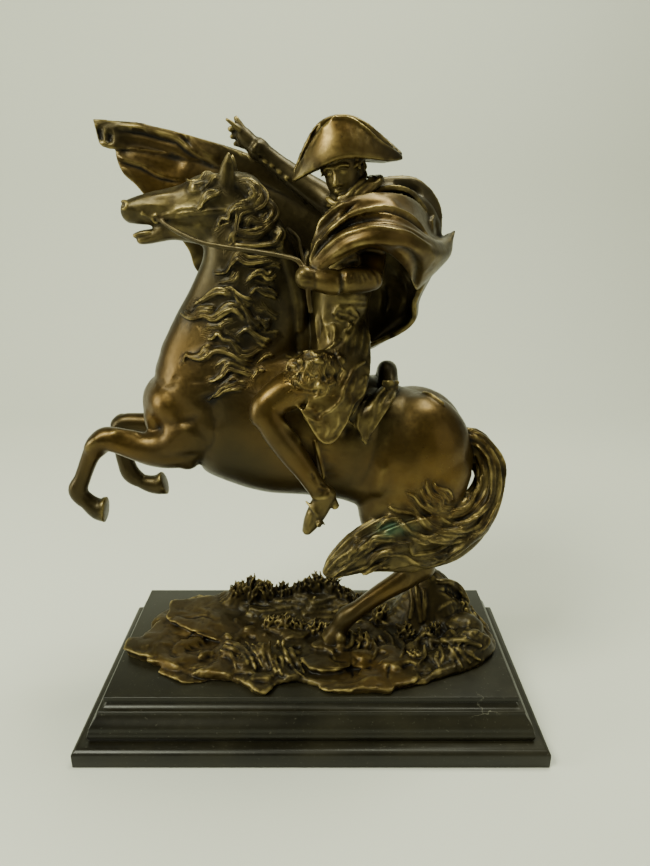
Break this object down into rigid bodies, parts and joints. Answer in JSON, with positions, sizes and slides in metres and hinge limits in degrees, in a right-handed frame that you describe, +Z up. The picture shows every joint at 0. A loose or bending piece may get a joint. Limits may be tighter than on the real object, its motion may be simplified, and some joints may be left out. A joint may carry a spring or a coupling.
{
  "type": "equestrian statuette",
  "caption": "Patinated bronze rider in a bicorne and wind-blown cloak on a rearing horse, on rocky ground, mounted on a stepped and moulded black marble plinth",
  "frame": {"origin": "middle of the plinth's underside", "axes": "+Z up; the horse looks along -X; -Y is its near side, the side that faces the viewer"},
  "size_m": [0.2619, 0.1376, 0.3327],
  "materials": {
    "bronze_group": "cast bronze with a dark olive-brown patina, rubbed bright on the ridges",
    "marble_plinth": "black marble, polished and a little dusty"
  },
  "bodies": {
    "root": {"bronze_group": "bronze_group", "marble_plinth": "marble_plinth"}
  },
  "joints": []
}
